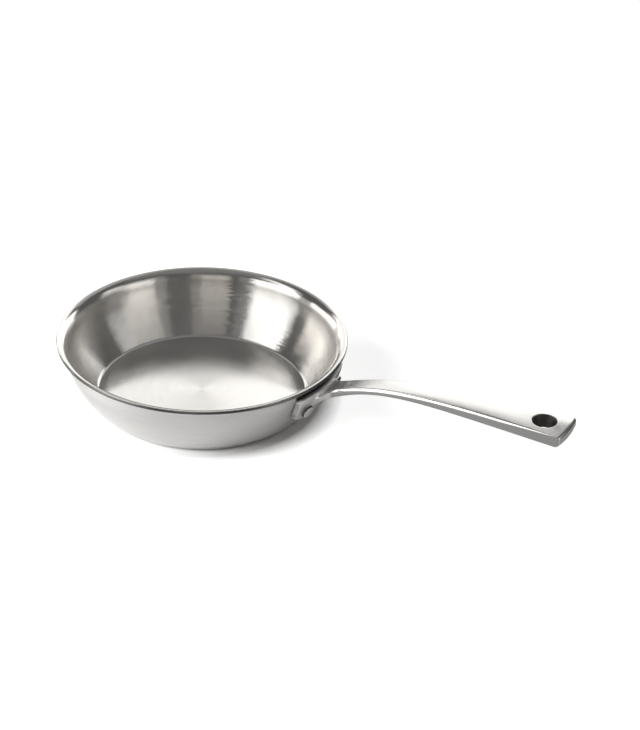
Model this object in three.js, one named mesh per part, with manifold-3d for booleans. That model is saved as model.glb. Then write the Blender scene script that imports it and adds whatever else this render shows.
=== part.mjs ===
// A frying pan of three-ply clad steel, with a cast handle held on by two solid rivets.
// Millimetres, +Z up. The origin is the middle of the base, on the table, and the handle runs along +X.
import * as THREE from 'three';
import { mergeVertices } from 'three/addons/utils/BufferGeometryUtils.js';
import Module from 'manifold-3d';

const wasm = await Module();
wasm.setup();
const radians = THREE.MathUtils.degToRad;

// Pan body: the outermost rim, the top of the rim, the flat of the base and the bends of the sheet
const RIM_RADIUS = 105;
const RIM_HEIGHT = 48.2;
const BASE_RADIUS = 75;
const CORNER_RADIUS = 6.5;
const LIP_RADIUS = 5.75;
const WALL_FOOT_ANGLE = radians(50);
const WALL_HEAD_ANGLE = radians(86);
const LIP_END_ANGLE = radians(10);

// Clad sheet: the plies from inside to outside, and the bond line between two of them
const COOKING_PLY = 0.5;
const CORE_PLY = 1.5;
const OUTER_PLY = 0.5;
const BOND_LINE = 0.05;

// Handle bracket: a curved plate of two ears that hugs the wall under the lip
const EAR_DROP = 9.2;
const EAR_HEIGHT = 19;
const EAR_THICKNESS = 3.8;
const EAR_MARGIN = 10.8;
const EAR_TOE_RADIUS = 8;
const EAR_SHOULDER_RADIUS = 2.5;
const EAR_GAP = 0.3;

// Rivets: a flat head on the ear, a low round head inside the pan
const RIVET_SPACING = 43;
const RIVET_DROP = 10.5;
const SHANK_RADIUS = 3;
const SHANK_CLEARANCE = 0.3;
const SEAT_GAP = 0.3;
const OUTER_HEAD_RADIUS = 5;
const OUTER_HEAD_HEIGHT = 2.2;
const OUTER_HEAD_CHAMFER = 0.4;
const INNER_HEAD_RADIUS = 6;
const INNER_HEAD_EDGE = 0.6;
const INNER_HEAD_CROWN = 1.1;

// Handle blade: climbs from the bracket, levels out and widens to an arched end with a hole to hang it by
const HANDLE_REACH = 283.6;
const NECK_CLEAR = 3;
const NECK_DROP = 4.4;
const NECK_THICKNESS = 4.1;
const NECK_HALF_WIDTH = 7.75;
const NECK_FILLET = 12;
const NECK_TOP_FILLET = 3;
const NECK_UNDER_FILLET = 3.5;
const END_RISE = 21.5;
const END_THICKNESS = 8.3;
const END_HALF_WIDTH = 15;
const END_ARCH = 1.2;
const END_ARCH_RUN = 25;
const END_CORNER_RADIUS = 1.5;
const TOE_RADIUS = 5;
const EDGE_WIDTH = 1.8;
const EDGE_DROP = 2.4;
const EDGE_FADE_RUN = 45;
const EDGE_FADED = 0.15;
const UNDERSIDE_CHAMFER = 0.7;
const CROWN = 0.8;
const HANG_HOLE_RADIUS = 8.5;
const HANG_HOLE_INSET = 18.4;

// Shape of the blade's climb: its angle at the neck, and how far each bend carries along the blade
const TOP_CLIMB = { angle: radians(39.5), lead: 0.205, level: 0.466 };
const UNDER_CLIMB = { angle: radians(27.8), lead: 0.278, level: 0.667 };
const TAPER_START = 0.14;

// Smoothness
const TURN_SEGMENTS = 56;
const RIVET_SEGMENTS = 20;
const HOLE_SEGMENTS = 24;
const CORNER_STEPS = 3;
const WALL_STEPS = 5;
const LIP_STEPS = 4;
const RIM_EDGE_STEPS = 2;
const OUTLINE_STEPS = 6;
const DOME_STEPS = 3;
const ROOT_STATIONS = 11;
const BEND_STATIONS = 9;
const RUN_STATIONS = 6;
const TOE_STATIONS = 4;

// A drill is this many times as long as the metal it goes through
const DRILL_LENGTH = 4;

const SHEET = COOKING_PLY + CORE_PLY + OUTER_PLY + 2 * BOND_LINE;

function toSolid(geometry) {
  const bare = new THREE.BufferGeometry();
  bare.setAttribute('position', geometry.getAttribute('position'));
  bare.setIndex(geometry.getIndex());
  const merged = mergeVertices(bare);
  const index = merged.getIndex().array;
  const triVerts = [];
  for (let i = 0; i < index.length; i += 3) {
    const [a, b, c] = index.slice(i, i + 3);
    if (a !== b && b !== c && c !== a) triVerts.push(a, b, c);
  }
  const mesh = new wasm.Mesh({
    numProp: 3,
    vertProperties: merged.getAttribute('position').array,
    triVerts: new Uint32Array(triVerts),
  });
  return new wasm.Manifold(mesh);
}

function toGeometry(solid) {
  const { vertProperties, triVerts } = solid.getMesh();
  const geometry = new THREE.BufferGeometry();
  geometry.setAttribute('position', new THREE.BufferAttribute(vertProperties, 3));
  geometry.setIndex(new THREE.BufferAttribute(triVerts, 1));
  geometry.computeVertexNormals();
  return geometry;
}

function metalMesh(name, geometry, finish) {
  const mesh = new THREE.Mesh(geometry, new THREE.MeshStandardMaterial(finish));
  mesh.name = name;
  return mesh;
}

function revolve(profile, segments) {
  return new THREE.LatheGeometry(profile, segments).rotateX(Math.PI / 2);
}

function spread(from, to, steps) {
  return Array.from({ length: steps }, (_, i) => THREE.MathUtils.lerp(from, to, i / steps));
}

// Half section of the sheet's outer face: flat base, rounded corner, bellied wall and rolled lip
function direction(angle) {
  return new THREE.Vector2(Math.cos(angle), Math.sin(angle));
}

function inwardOf(tangent) {
  return new THREE.Vector2(-tangent.y, tangent.x);
}

const rimTangent = direction(LIP_END_ANGLE);
const rimInward = inwardOf(rimTangent);
const rimMiddle = new THREE.Vector2(RIM_RADIUS - SHEET / 2, RIM_HEIGHT - SHEET / 2);
const lipCentre = rimMiddle.clone().addScaledVector(rimInward, -SHEET / 2 - LIP_RADIUS);
const cornerArc = new THREE.EllipseCurve(
  BASE_RADIUS, CORNER_RADIUS, CORNER_RADIUS, CORNER_RADIUS,
  -Math.PI / 2, WALL_FOOT_ANGLE - Math.PI / 2, false,
);
const lipArc = new THREE.EllipseCurve(
  lipCentre.x, lipCentre.y, LIP_RADIUS, LIP_RADIUS,
  WALL_HEAD_ANGLE + Math.PI / 2, LIP_END_ANGLE + Math.PI / 2, true,
);

function wallCurve() {
  const foot = cornerArc.getPoint(1);
  const head = lipArc.getPoint(0);
  const footward = direction(WALL_FOOT_ANGLE);
  const headward = direction(WALL_HEAD_ANGLE);
  const span = head.clone().sub(foot);
  const reach = span.cross(headward) / footward.cross(headward);
  return new THREE.QuadraticBezierCurve(foot, foot.clone().addScaledVector(footward, reach), head);
}

const wall = wallCurve();

function faceSamples(curve, steps) {
  const samples = [];
  for (let i = 1; i <= steps; i += 1) {
    samples.push({ point: curve.getPoint(i / steps), inward: inwardOf(curve.getTangent(i / steps)) });
  }
  return samples;
}

const up = new THREE.Vector2(0, 1);
const wallSamples = faceSamples(wall, WALL_STEPS);
const lipSamples = faceSamples(lipArc, LIP_STEPS);
const outerFace = [
  { point: new THREE.Vector2(0, 0), inward: up },
  { point: new THREE.Vector2(BASE_RADIUS, 0), inward: up },
  ...faceSamples(cornerArc, CORNER_STEPS),
  ...wallSamples,
  ...lipSamples,
];

function offsetFace(samples, depth) {
  return samples.map(({ point, inward }) => point.clone().addScaledVector(inward, depth));
}

// The cut rim is rounded over across the whole sheet, so each ply shows its own part of the round
function rimEdge(fromDepth, toDepth) {
  const points = [];
  for (let i = 0; i <= RIM_EDGE_STEPS; i += 1) {
    const across = THREE.MathUtils.lerp(fromDepth, toDepth, i / RIM_EDGE_STEPS) - SHEET / 2;
    const beyond = Math.sqrt(Math.max(0, (SHEET / 2) ** 2 - across ** 2));
    const point = rimMiddle.clone().addScaledVector(rimInward, across).addScaledVector(rimTangent, beyond);
    points.push(point);
  }
  return points;
}

function plyProfile(fromDepth, toDepth) {
  const under = offsetFace(outerFace, fromDepth);
  const over = offsetFace(outerFace, toDepth).reverse();
  return [...under, ...rimEdge(fromDepth, toDepth), ...over];
}

// Where the ears and rivets sit on the wall
const earTop = RIM_HEIGHT - EAR_DROP;
const earBottom = earTop - EAR_HEIGHT;
const rivetHeight = earTop - RIVET_DROP;

function curveParameter(valueAt, target) {
  let low = 0;
  let high = 1;
  while (high - low > 1e-6) {
    const middle = (low + high) / 2;
    if (valueAt(middle) < target) low = middle;
    else high = middle;
  }
  return low;
}

const rivetAt = curveParameter((t) => wall.getPoint(t).y, rivetHeight);
const rivetPoint = wall.getPoint(rivetAt);
const rivetInward = inwardOf(wall.getTangent(rivetAt));
const rivetAngle = Math.asin(RIVET_SPACING / 2 / rivetPoint.x);

// A rivet's own frame: its origin on the wall's outer face, its Z along the wall's outward normal
function rivetSeat(side) {
  const turn = new THREE.Matrix4().makeRotationZ(side * rivetAngle);
  const outward = new THREE.Vector3(-rivetInward.x, 0, -rivetInward.y);
  const along = new THREE.Vector3(0, 1, 0);
  const seat = new THREE.Matrix4().makeBasis(along, outward.clone().cross(along), outward);
  seat.setPosition(rivetPoint.x, 0, rivetPoint.y);
  return turn.multiply(seat);
}

function rivetHole(side) {
  const radius = SHANK_RADIUS + SHANK_CLEARANCE;
  const length = DRILL_LENGTH * (SHEET + EAR_GAP + EAR_THICKNESS);
  const drill = new THREE.CylinderGeometry(radius, radius, length, RIVET_SEGMENTS).rotateX(Math.PI / 2);
  return toSolid(drill.applyMatrix4(rivetSeat(side)));
}

const rivetHoles = rivetHole(1).add(rivetHole(-1));

function plyMesh(name, fromDepth, toDepth, finish) {
  const ply = toSolid(revolve(plyProfile(fromDepth, toDepth), TURN_SEGMENTS));
  return metalMesh(name, toGeometry(ply.subtract(rivetHoles)), finish);
}

// Bracket plate: a ring offset from the wall, trimmed to the ears' outline as seen from the handle
function earOutline() {
  const half = RIVET_SPACING / 2 + EAR_MARGIN;
  const toe = EAR_TOE_RADIUS;
  const shoulder = EAR_SHOULDER_RADIUS;
  const outline = new THREE.Shape();
  outline.absarc(half - toe, earBottom + toe, toe, -Math.PI / 2, 0, false);
  outline.absarc(half - shoulder, earTop - shoulder, shoulder, 0, Math.PI / 2, false);
  outline.absarc(shoulder - half, earTop - shoulder, shoulder, Math.PI / 2, Math.PI, false);
  outline.absarc(toe - half, earBottom + toe, toe, Math.PI, 1.5 * Math.PI, false);
  outline.closePath();
  return outline;
}

const facingHandle = new THREE.Matrix4().makeBasis(
  new THREE.Vector3(0, 1, 0), new THREE.Vector3(0, 0, 1), new THREE.Vector3(1, 0, 0),
);

function earPlate() {
  const wallFace = [{ point: wall.getPoint(0), inward: inwardOf(wall.getTangent(0)) }, ...wallSamples];
  const inside = offsetFace(wallFace, -EAR_GAP).reverse();
  const outside = offsetFace(wallFace, -EAR_GAP - EAR_THICKNESS);
  const ring = toSolid(revolve([...outside, ...inside, outside[0]], TURN_SEGMENTS));
  const extrusion = { depth: HANDLE_REACH, bevelEnabled: false, curveSegments: OUTLINE_STEPS };
  const block = new THREE.ExtrudeGeometry(earOutline(), extrusion);
  return ring.intersect(toSolid(block.applyMatrix4(facingHandle)));
}

// Everything inside the wall's outer face and the ears' gap, cut away from the blade's root
function wallEnvelope() {
  const face = offsetFace(outerFace, -EAR_GAP);
  const lid = new THREE.Vector2(0, face[face.length - 1].y);
  return toSolid(revolve([...face, lid], TURN_SEGMENTS));
}

// Blade edges in side view: two curves that leave the neck at an angle and end level
const neckRadius = rivetPoint.x + EAR_GAP + EAR_THICKNESS;
const neckX = neckRadius + NECK_CLEAR;
const endX = HANDLE_REACH - END_ARCH;
const endTop = earTop + END_RISE;

function climbCurve(startHeight, endHeight, climb) {
  const start = new THREE.Vector2(neckX, startHeight);
  const end = new THREE.Vector2(endX, endHeight);
  const run = endX - neckX;
  const leaving = start.clone().addScaledVector(direction(climb.angle), climb.lead * run);
  const arriving = end.clone().setX(endX - climb.level * run);
  return new THREE.CubicBezierCurve(start, leaving, arriving, end);
}

const topCurve = climbCurve(earTop - NECK_DROP, endTop, TOP_CLIMB);
const underCurve = climbCurve(earTop - NECK_DROP - NECK_THICKNESS, endTop - END_THICKNESS, UNDER_CLIMB);

function heightOn(curve, climb, x) {
  if (x < neckX) return curve.v0.y + (x - neckX) * Math.tan(climb.angle);
  return curve.getPoint(curveParameter((t) => curve.getPoint(t).x, x)).y;
}

// Blade sides in plan: a fillet off the round of the bracket, a straight taper and rounded end corners
const filletY = NECK_HALF_WIDTH + NECK_FILLET;
const filletX = Math.sqrt((neckRadius + NECK_FILLET) ** 2 - filletY ** 2);
const flareX = filletX * neckRadius / (neckRadius + NECK_FILLET);

function roundedLoss(radius, pastStart) {
  const inside = Math.min(Math.max(pastStart, 0), radius);
  return radius - Math.sqrt(radius ** 2 - inside ** 2);
}

function halfWidth(x) {
  const taperX = THREE.MathUtils.lerp(neckX, endX, TAPER_START);
  const taper = Math.max(0, (x - taperX) / (endX - taperX));
  const straight = THREE.MathUtils.lerp(NECK_HALF_WIDTH, END_HALF_WIDTH, taper);
  const flare = roundedLoss(NECK_FILLET, filletX - Math.max(x, flareX));
  const corner = roundedLoss(END_CORNER_RADIUS, x - (endX - END_CORNER_RADIUS));
  return straight + flare - corner;
}

// Blade in side view: fillets where it leaves the bracket, and a rounded toe under the end
function topHeight(x) {
  const fillet = roundedLoss(NECK_TOP_FILLET, neckRadius + NECK_TOP_FILLET - x);
  return heightOn(topCurve, TOP_CLIMB, x) + fillet;
}

function underHeight(x) {
  const fillet = roundedLoss(NECK_UNDER_FILLET, neckRadius + NECK_UNDER_FILLET - x);
  const toe = roundedLoss(TOE_RADIUS, x - (endX - TOE_RADIUS));
  return heightOn(underCurve, UNDER_CLIMB, x) - fillet + toe;
}

// One section of the blade: chamfered underside, upright sides, rounded upper edges and a crowned top
function bladeSection(x) {
  const half = halfWidth(x);
  const top = topHeight(x);
  const under = underHeight(x);
  const fade = Math.max(EDGE_FADED, Math.min(1, (endX - x) / EDGE_FADE_RUN));
  const edgeWidth = EDGE_WIDTH * fade;
  const edgeDrop = Math.min(EDGE_DROP * fade, (top - under) / 2);
  const chamfer = Math.min(UNDERSIDE_CHAMFER, (top - under) / 4);
  const midRound = 1 - Math.SQRT1_2;
  const side = [
    [half - chamfer, under],
    [half, under + chamfer],
    [half, top - edgeDrop],
    [half - midRound * edgeWidth, top - midRound * edgeDrop],
    [half - edgeWidth, top],
    [(half - edgeWidth) / 2, top + CROWN * (1 - 0.5 ** 2)],
  ];
  const mirrored = side.map(([y, z]) => [-y, z]).reverse();
  const section = [...side, [0, top + CROWN], ...mirrored];
  const archStart = endX - END_ARCH_RUN;
  const arch = END_ARCH * Math.max(0, (x - archStart) / END_ARCH_RUN);
  return section.map(([y, z]) => new THREE.Vector3(x + arch * (1 - (y / half) ** 2), y, z));
}

// A loft through sections of equally many points, closed by a fan at either end
function loft(sections) {
  const count = sections[0].length;
  const positions = sections.flat().flatMap((point) => point.toArray());
  const index = [];
  for (let s = 0; s + 1 < sections.length; s += 1) {
    for (let i = 0; i < count; i += 1) {
      const a = s * count + i;
      const b = s * count + (i + 1) % count;
      index.push(a, b, b + count, a, b + count, a + count);
    }
  }
  const last = (sections.length - 1) * count;
  for (let i = 1; i + 1 < count; i += 1) {
    index.push(0, i + 1, i, last, last + i, last + i + 1);
  }
  const geometry = new THREE.BufferGeometry();
  geometry.setAttribute('position', new THREE.Float32BufferAttribute(positions, 3));
  geometry.setIndex(index);
  return geometry;
}

function bladeStations() {
  const rootX = neckRadius - EAR_THICKNESS / 2 - NECK_CLEAR / 2;
  const bendEnd = (neckX + endX) / 2;
  const toeStart = endX - TOE_RADIUS;
  const toeTurns = spread(0, Math.PI / 2, TOE_STATIONS);
  return [
    ...spread(rootX, filletX, ROOT_STATIONS),
    ...spread(filletX, bendEnd, BEND_STATIONS),
    ...spread(bendEnd, toeStart, RUN_STATIONS),
    ...toeTurns.map((turn) => toeStart + TOE_RADIUS * Math.sin(turn)),
    endX,
  ];
}

function hangHole() {
  const length = DRILL_LENGTH * END_THICKNESS;
  const drill = new THREE.CylinderGeometry(HANG_HOLE_RADIUS, HANG_HOLE_RADIUS, length, HOLE_SEGMENTS);
  drill.rotateX(Math.PI / 2);
  drill.translate(HANDLE_REACH - HANG_HOLE_INSET, 0, endTop - END_THICKNESS / 2);
  return toSolid(drill);
}

function handleMesh(finish) {
  const blade = toSolid(loft(bladeStations().map(bladeSection)));
  const casting = blade.subtract(wallEnvelope()).add(earPlate());
  return metalMesh('handle', toGeometry(casting.subtract(rivetHoles).subtract(hangHole())), finish);
}

// Solid rivet, turned about the wall's normal: flat head over the ear, low round head inside the pan
function rivetMesh(name, side, finish) {
  const roundCurl = 1 / (rivetPoint.x - SHEET);
  const bellyCurl = (WALL_HEAD_ANGLE - WALL_FOOT_ANGLE) / wall.getLength();
  const hollow = INNER_HEAD_RADIUS ** 2 * Math.max(roundCurl, bellyCurl) / 2;
  const innerSeat = -SHEET - SEAT_GAP - hollow;
  const innerTop = innerSeat - INNER_HEAD_EDGE - INNER_HEAD_CROWN;
  const outerSeat = EAR_GAP + EAR_THICKNESS + SEAT_GAP;
  const outerTop = outerSeat + OUTER_HEAD_HEIGHT;
  const dome = spread(0, 1, DOME_STEPS).map((share) => [
    share * INNER_HEAD_RADIUS,
    innerTop + share ** 2 * INNER_HEAD_CROWN,
  ]);
  const profile = [
    ...dome,
    [INNER_HEAD_RADIUS, innerSeat - INNER_HEAD_EDGE],
    [INNER_HEAD_RADIUS, innerSeat],
    [SHANK_RADIUS, innerSeat],
    [SHANK_RADIUS, outerSeat],
    [OUTER_HEAD_RADIUS, outerSeat],
    [OUTER_HEAD_RADIUS, outerTop - OUTER_HEAD_CHAMFER],
    [OUTER_HEAD_RADIUS - OUTER_HEAD_CHAMFER, outerTop],
    [0, outerTop],
  ];
  const turned = revolve(profile.map(([r, z]) => new THREE.Vector2(r, z)), RIVET_SEGMENTS);
  const rivet = metalMesh(name, toGeometry(toSolid(turned)), finish);
  rivet.applyMatrix4(rivetSeat(side));
  return rivet;
}

const coreStart = OUTER_PLY + BOND_LINE;
const coreEnd = coreStart + CORE_PLY;
const cookingStart = coreEnd + BOND_LINE;

const pan = new THREE.Group();
pan.add(plyMesh('cooking_ply', cookingStart, SHEET, { color: 0xc9c6c1, roughness: 0.28, metalness: 1 }));
pan.add(plyMesh('core_ply', coreStart, coreEnd, { color: 0x9b9b99, roughness: 0.5, metalness: 1 }));
pan.add(plyMesh('outer_ply', 0, OUTER_PLY, { color: 0xc4c3c0, roughness: 0.38, metalness: 1 }));
pan.add(handleMesh({ color: 0xcac9c6, roughness: 0.3, metalness: 1 }));
pan.add(rivetMesh('front_rivet', -1, { color: 0xd0cfcc, roughness: 0.25, metalness: 1 }));
pan.add(rivetMesh('rear_rivet', 1, { color: 0xd0cfcc, roughness: 0.25, metalness: 1 }));

export default pan;
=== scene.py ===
import math

import bmesh
import bpy
import numpy as np
from mathutils import Matrix, Vector


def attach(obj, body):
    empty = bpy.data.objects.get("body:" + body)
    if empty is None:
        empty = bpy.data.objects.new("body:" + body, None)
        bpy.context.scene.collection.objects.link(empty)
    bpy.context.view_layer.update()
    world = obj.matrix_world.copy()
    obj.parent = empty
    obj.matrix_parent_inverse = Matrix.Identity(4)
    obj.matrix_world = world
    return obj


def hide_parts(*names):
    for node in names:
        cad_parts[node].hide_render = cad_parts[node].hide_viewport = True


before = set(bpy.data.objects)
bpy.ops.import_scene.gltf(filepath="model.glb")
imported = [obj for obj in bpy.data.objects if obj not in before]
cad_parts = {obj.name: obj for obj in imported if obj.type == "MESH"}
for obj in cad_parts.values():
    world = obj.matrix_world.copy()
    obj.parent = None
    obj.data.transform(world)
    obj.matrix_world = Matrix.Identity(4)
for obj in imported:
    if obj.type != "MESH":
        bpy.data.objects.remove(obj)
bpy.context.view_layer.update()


# Cooking skin: the inside of the pan, from the middle of the floor to the top of the rolled lip.
# Stainless steel, rolled onto the core and the outer skin as one clad sheet, pressed to shape and
# then brushed round on a turntable, so the grain runs in rings.
RIM_RADIUS = 0.10497
RIM_HEIGHT = 0.0482
BASE_RADIUS = 0.075
CORNER_RADIUS = 0.0065
LIP_RADIUS = 0.00575
WALL_FOOT = math.radians(50)
WALL_HEAD = math.radians(86)
LIP_END = math.radians(10)
OUTER_PLY = 0.0005
CORE_PLY = 0.0015
COOKING_PLY = 0.0005
BOND_LINE = 0.00005
SHEET = OUTER_PLY + CORE_PLY + COOKING_PLY + 2 * BOND_LINE
FLOOR_RINGS = 24
CORNER_STEPS = 10
WALL_STEPS = 36
LIP_STEPS = 16
RIM_STEPS = 6
PAN_TURNS = 240
WELD = 1e-7

# the brushing: each grain has its width, and its length as a share of the radius
FINE_LINES = (0.00016, 0.16)
STROKES = (0.00065, 0.1)
CLOUDS = (0.006, 0.7)
PATCHES = (0.011, 0.5)
GRAIN_DETAIL = 2.0
STROKE_DETAIL = 3.0
GRAIN_ROUGHNESS = 0.6
GRAIN_RANGE = (0.3, 0.7)
PATCH_RANGE = (0.4, 0.65)
PATCH_FAINT = 0.25
SCRATCHES = 1e5
FINE_SHARE = 0.1
CLOUD_SHADE = 0.95
CLOUD_GLOSS = 0.012
STROKE_GLOSS = (0.93, 1.05)
RELIEF_DEPTH = 0.0001
ACROSS_THE_GRAIN = 0.25
LEVEL = (1.0, 1.0, 0.0)

# where the wall's brushing starts, and how the floor and the lip differ from it
WALL_RISE = (0.0027, 0.0038)
CORNER_RISE = (0.003, 0.008)
FLOOR_GROOVE = 0.12
FLOOR_POLISH = 0.7
LIP_START = 0.0435
LIP_GROOVE_RUN = 0.003
LIP_GROOVE = 0.25
LIP_POLISH_RUN = 0.0025
LIP_POLISH = 0.6


def heading(angle):
    return np.array([math.cos(angle), math.sin(angle)])


def inward(tangent):
    return np.array([-tangent[1], tangent[0]])


rim_tangent = heading(LIP_END)
rim_inward = inward(rim_tangent)
rim_middle = np.array([RIM_RADIUS, RIM_HEIGHT]) - SHEET / 2
lip_centre = rim_middle - rim_inward * (SHEET / 2 + LIP_RADIUS)


def corner_at(share):
    """The round between base and wall: a point of the sheet's outer face, and the way into the metal."""
    angle = share * WALL_FOOT
    point = np.array([BASE_RADIUS, CORNER_RADIUS]) + CORNER_RADIUS * heading(angle - math.pi / 2)
    return point, inward(heading(angle))


def lip_at(share):
    """The rolled lip, from the head of the wall to the rim."""
    angle = WALL_HEAD + share * (LIP_END - WALL_HEAD)
    point = lip_centre + LIP_RADIUS * heading(angle + math.pi / 2)
    return point, inward(heading(angle))


def wall_at(share):
    """The bellied wall: one curve from the corner, at its foot angle, to the lip, at its head angle."""
    foot, head = corner_at(1)[0], lip_at(0)[0]
    out, up = heading(WALL_FOOT), heading(WALL_HEAD)
    span = head - foot
    reach = (span[0] * up[1] - span[1] * up[0]) / (out[0] * up[1] - out[1] * up[0])
    bend = foot + out * reach
    point = (1 - share) ** 2 * foot + 2 * share * (1 - share) * bend + share**2 * head
    tangent = (1 - share) * (bend - foot) + share * (head - bend)
    return point, inward(tangent / np.linalg.norm(tangent))


def sheet_face():
    """The sheet's outer face in half section, from the axis to the lip, with the way into the metal."""
    up = np.array([0.0, 1.0])
    face = [(np.array([BASE_RADIUS * i / FLOOR_RINGS, 0.0]), up) for i in range(FLOOR_RINGS + 1)]
    face += [corner_at(i / CORNER_STEPS) for i in range(1, CORNER_STEPS + 1)]
    face += [wall_at(i / WALL_STEPS) for i in range(1, WALL_STEPS + 1)]
    face += [lip_at(i / LIP_STEPS) for i in range(1, LIP_STEPS + 1)]
    return face


def rim_edge(across):
    """A point on the rounded rim edge, at a distance from the middle of the sheet."""
    beyond = math.sqrt(max(0.0, (SHEET / 2) ** 2 - across**2))
    return rim_middle + rim_inward * across + rim_tangent * beyond


def ply_section(depth, thickness):
    """One ply in half section: its lower face, its share of the rounded rim edge, and its upper face."""
    lower = [point + way * depth for point, way in sheet_face()]
    upper = [point + way * (depth + thickness) for point, way in sheet_face()]
    edge = [rim_edge(depth + thickness * i / RIM_STEPS - SHEET / 2) for i in range(RIM_STEPS + 1)]
    return lower + edge + upper[::-1]


def piece_from(name, verts, faces):
    """A smooth closed piece, with its faces turned outward."""
    mesh = bpy.data.meshes.new(name)
    mesh.from_pydata([tuple(v) for v in verts], [], faces)
    work = bmesh.new()
    work.from_mesh(mesh)
    bmesh.ops.remove_doubles(work, verts=work.verts, dist=WELD)
    bmesh.ops.recalc_face_normals(work, faces=work.faces)
    work.to_mesh(mesh)
    work.free()
    mesh.shade_smooth()
    piece = bpy.data.objects.new(name, mesh)
    bpy.context.scene.collection.objects.link(piece)
    return piece


def turned(name, section, turns):
    """A closed piece turned about Z from a half section that starts and ends on the axis."""
    verts, rows = [], []
    for radius, height in section:
        if radius < WELD:
            rows.append([len(verts)] * turns)
            verts.append((0.0, 0.0, height))
            continue
        rows.append(list(range(len(verts), len(verts) + turns)))
        for j in range(turns):
            angle = 2 * math.pi * j / turns
            verts.append((radius * math.cos(angle), radius * math.sin(angle), height))
    faces = []
    for lower, upper in zip(rows, rows[1:]):
        for j in range(turns):
            k = (j + 1) % turns
            corners = (lower[j], lower[k], upper[k], upper[j])
            faces.append(tuple(dict.fromkeys(corners)))
    return piece_from(name, verts, faces)


def add(tree, kind, values=None, **settings):
    """A node with its settings, and a value or a link on each named input."""
    made = tree.nodes.new(kind)
    for key, value in settings.items():
        setattr(made, key, value)
    for key, value in (values or {}).items():
        if isinstance(value, bpy.types.NodeSocket):
            tree.links.new(value, made.inputs[key])
        else:
            made.inputs[key].default_value = value
    return made


def math_node(tree, operation, a, b=0.0):
    return add(tree, "ShaderNodeMath", {0: a, 1: b}, operation=operation).outputs[0]


def vector_node(tree, operation, a, b=(0.0, 0.0, 0.0)):
    return add(tree, "ShaderNodeVectorMath", {0: a, 1: b}, operation=operation).outputs["Vector"]


def scaled(tree, vector, amount):
    drawn_out = {0: vector, "Scale": amount}
    return add(tree, "ShaderNodeVectorMath", drawn_out, operation="SCALE").outputs["Vector"]


def length_of(tree, vector):
    return add(tree, "ShaderNodeVectorMath", {0: vector}, operation="LENGTH").outputs["Value"]


def place_on(tree):
    return add(tree, "ShaderNodeTexCoord").outputs["Object"]


def parts_of(tree, vector):
    return add(tree, "ShaderNodeSeparateXYZ", {0: vector}).outputs


def between(tree, value, start, end, low, high):
    """Low up to the start of a range, high past its end, and an even change on the way."""
    ranged = {"Value": value, "From Min": start, "From Max": end, "To Min": low, "To Max": high}
    return add(tree, "ShaderNodeMapRange", ranged).outputs[0]


def spread(tree, grain, low, high):
    """The grain's middle range, spread from low to high."""
    return between(tree, grain, *GRAIN_RANGE, low, high)


def mottle(tree, where, scale=1.0, detail=GRAIN_DETAIL, roughness=GRAIN_ROUGHNESS):
    noise = {"Vector": where, "Scale": scale, "Detail": detail, "Roughness": roughness}
    return add(tree, "ShaderNodeTexNoise", noise).outputs[0]


def ring_grain(tree, groove, streak, detail=GRAIN_DETAIL):
    """Noise drawn out into rings about the axis: groove is its width, and streak its length as a share
    of the radius."""
    place = place_on(tree)
    flat = vector_node(tree, "MULTIPLY", place, LEVEL)
    outward_and_up = math_node(tree, "ADD", length_of(tree, flat), parts_of(tree, place)["Z"])
    across = math_node(tree, "DIVIDE", outward_and_up, groove)
    around = scaled(tree, vector_node(tree, "NORMALIZE", flat), 1.0 / streak)
    where = vector_node(tree, "ADD", around, add(tree, "ShaderNodeCombineXYZ", {"Z": across}).outputs[0])
    return mottle(tree, where, detail=detail)


def paint(tint, shade=1.0):
    return (*(part * shade for part in tint), 1.0)


def blend(tree, share, under, over):
    """One colour laid over another by a share."""
    layers = {"Factor": share, "A": under, "B": over}
    return add(tree, "ShaderNodeMix", layers, data_type="RGBA").outputs["Result"]


def new_finish(name):
    finish = bpy.data.materials.new(name)
    finish.use_nodes = True
    finish.node_tree.nodes.clear()
    return finish, finish.node_tree


def metal_surface(tree, colour, gloss, stretch, along, normal):
    """The metal itself, with its gloss drawn out across the way it was brushed."""
    metal = {
        "Base Color": colour,
        "Metallic": 1.0,
        "Roughness": gloss,
        "Anisotropic": stretch,
        "Anisotropic Rotation": ACROSS_THE_GRAIN,
        "Tangent": along,
        "Normal": normal,
    }
    surface = add(tree, "ShaderNodeBsdfPrincipled", metal).outputs[0]
    add(tree, "ShaderNodeOutputMaterial", {"Surface": surface})


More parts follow.
